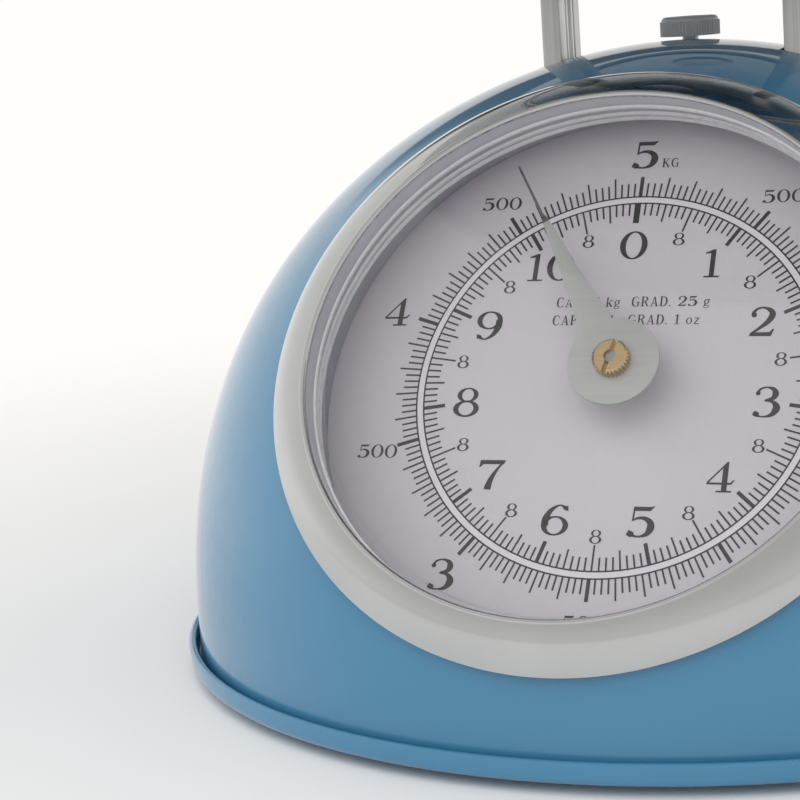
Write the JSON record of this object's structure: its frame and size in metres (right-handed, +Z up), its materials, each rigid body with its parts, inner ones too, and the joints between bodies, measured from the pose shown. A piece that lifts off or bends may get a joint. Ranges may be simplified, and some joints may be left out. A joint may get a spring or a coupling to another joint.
{
  "type": "kitchen scale",
  "caption": "Dome-bodied mechanical kitchen scale with a tilted round dial behind a chrome bezel, a turning pointer and a lift-off bowl on posts.",
  "frame": {"origin": "on the floor, under the centre of the round base", "axes": "+Z up; the dial faces -Y; +X is to the right of a person reading the dial"},
  "size_m": [0.24, 0.24, 0.2046],
  "materials": {
    "paint": "gloss blue paint",
    "chrome": "polished chrome plate",
    "steel": "brushed steel",
    "stainless": "satin stainless steel",
    "clear": "clear moulded plastic",
    "dial": "printed satin card",
    "black": "matt black moulding",
    "rubber": "soft black rubber",
    "brass": "turned brass",
    "spring": "bright spring wire"
  },
  "bodies": {
    "housing": {"base_pan": "paint", "dome_body": "paint", "bezel_ring": "chrome", "dial_lens": "clear", "dial_plate": "dial", "dial_housing": "black", "rack_guide": "black", "shaft_bush_front": "brass", "shaft_bush_rear": "brass", "gear_pillar_1": "brass", "gear_pillar_2": "brass", "gear_pillar_3": "brass", "gear_pillar_4": "brass", "gear_plate": "steel", "mechanism_frame": "steel", "link_pin_rear_lower": "steel", "link_pin_rear_upper": "steel", "pan_screw_1": "steel", "pan_screw_2": "steel", "pan_screw_3": "steel", "pan_screw_4": "steel", "frame_screw_1": "steel", "frame_screw_2": "steel", "frame_screw_3": "steel", "frame_screw_4": "steel", "foot_front_left": "rubber", "foot_front_right": "rubber", "foot_rear_left": "rubber", "foot_rear_right": "rubber"},
    "carriage": {"post_left": "steel", "post_right": "steel", "beam_lower": "steel", "beam_upper": "steel", "drive_yoke": "steel", "tray_carrier": "steel", "carrier_screw_left": "steel", "carrier_screw_right": "steel", "beam_screw_lower_left": "steel", "beam_screw_lower_right": "steel", "beam_screw_upper_left": "steel", "beam_screw_upper_right": "steel", "spring_left": "spring", "spring_right": "spring"},
    "pointer": {"pointer": "steel", "pointer_nut": "brass", "pointer_collet": "brass", "pointer_shaft": "steel", "pinion": "brass"},
    "rack": {"rack": "brass", "rack_pin": "steel"},
    "link_lower": {"link_lower": "steel", "link_pin_front_lower": "steel"},
    "link_upper": {"link_upper": "steel", "link_pin_front_upper": "steel"},
    "zero_knob": {"zero_knob": "steel"},
    "spring_hanger": {"spring_hanger": "steel"},
    "bowl": {"bowl": "stainless"}
  },
  "joints": [
    {"name": "carriage_travel", "type": "slide", "parent": "housing", "child": "carriage", "axis": [0, 0, -1], "range_m": [-0.0004, 0.0166], "stiffness_N_per_m": 3200, "springref_m": -0.0004, "deforming": ["spring_left", "spring_right"]},
    {"name": "rack_travel", "type": "slide", "parent": "housing", "child": "rack", "axis": [0, -0.5814, -0.8136], "range_m": [-0.00049, 0.02041]},
    {"name": "pointer_turn", "type": "hinge", "parent": "housing", "child": "pointer", "pos_m": [0.002, -0.06086, 0.06656], "axis": [0, 0.8136, -0.5814], "range_deg": [-9.39, 389.86]},
    {"name": "lower_link_swing", "type": "hinge", "parent": "housing", "child": "link_lower", "pos_m": [0, 0.066, 0.032], "axis": [1, 0, 0], "range_deg": [-0.46, 18.87]},
    {"name": "upper_link_swing", "type": "hinge", "parent": "housing", "child": "link_upper", "pos_m": [0, 0.066, 0.08], "axis": [1, 0, 0], "range_deg": [-0.46, 18.87]},
    {"name": "zero_knob_turn", "type": "hinge", "parent": "housing", "child": "zero_knob", "pos_m": [0, 0.01, 0.133], "axis": [0, 0, 1], "range_deg": [-720, 720]},
    {"name": "spring_hanger_rise", "type": "slide", "parent": "housing", "child": "spring_hanger", "axis": [0, 0, 1], "range_m": [-0.001, 0.001]},
    {"name": "bowl_lift_off", "type": "slide", "parent": "carriage", "child": "bowl", "axis": [0, 0, 1], "range_m": [0, 0.06]}
  ],
  "couplings": [
    {"joint": "rack_travel", "follows": "carriage_travel", "ratio": 1.2291},
    {"joint": "pointer_turn", "follows": "carriage_travel", "rad_per_m": 409.7},
    {"joint": "lower_link_swing", "follows": "carriage_travel", "rad_per_m": 19.83},
    {"joint": "upper_link_swing", "follows": "carriage_travel", "rad_per_m": 19.83},
    {"joint": "spring_hanger_rise", "follows": "zero_knob_turn", "m_per_rad": 0.000079577}
  ]
}
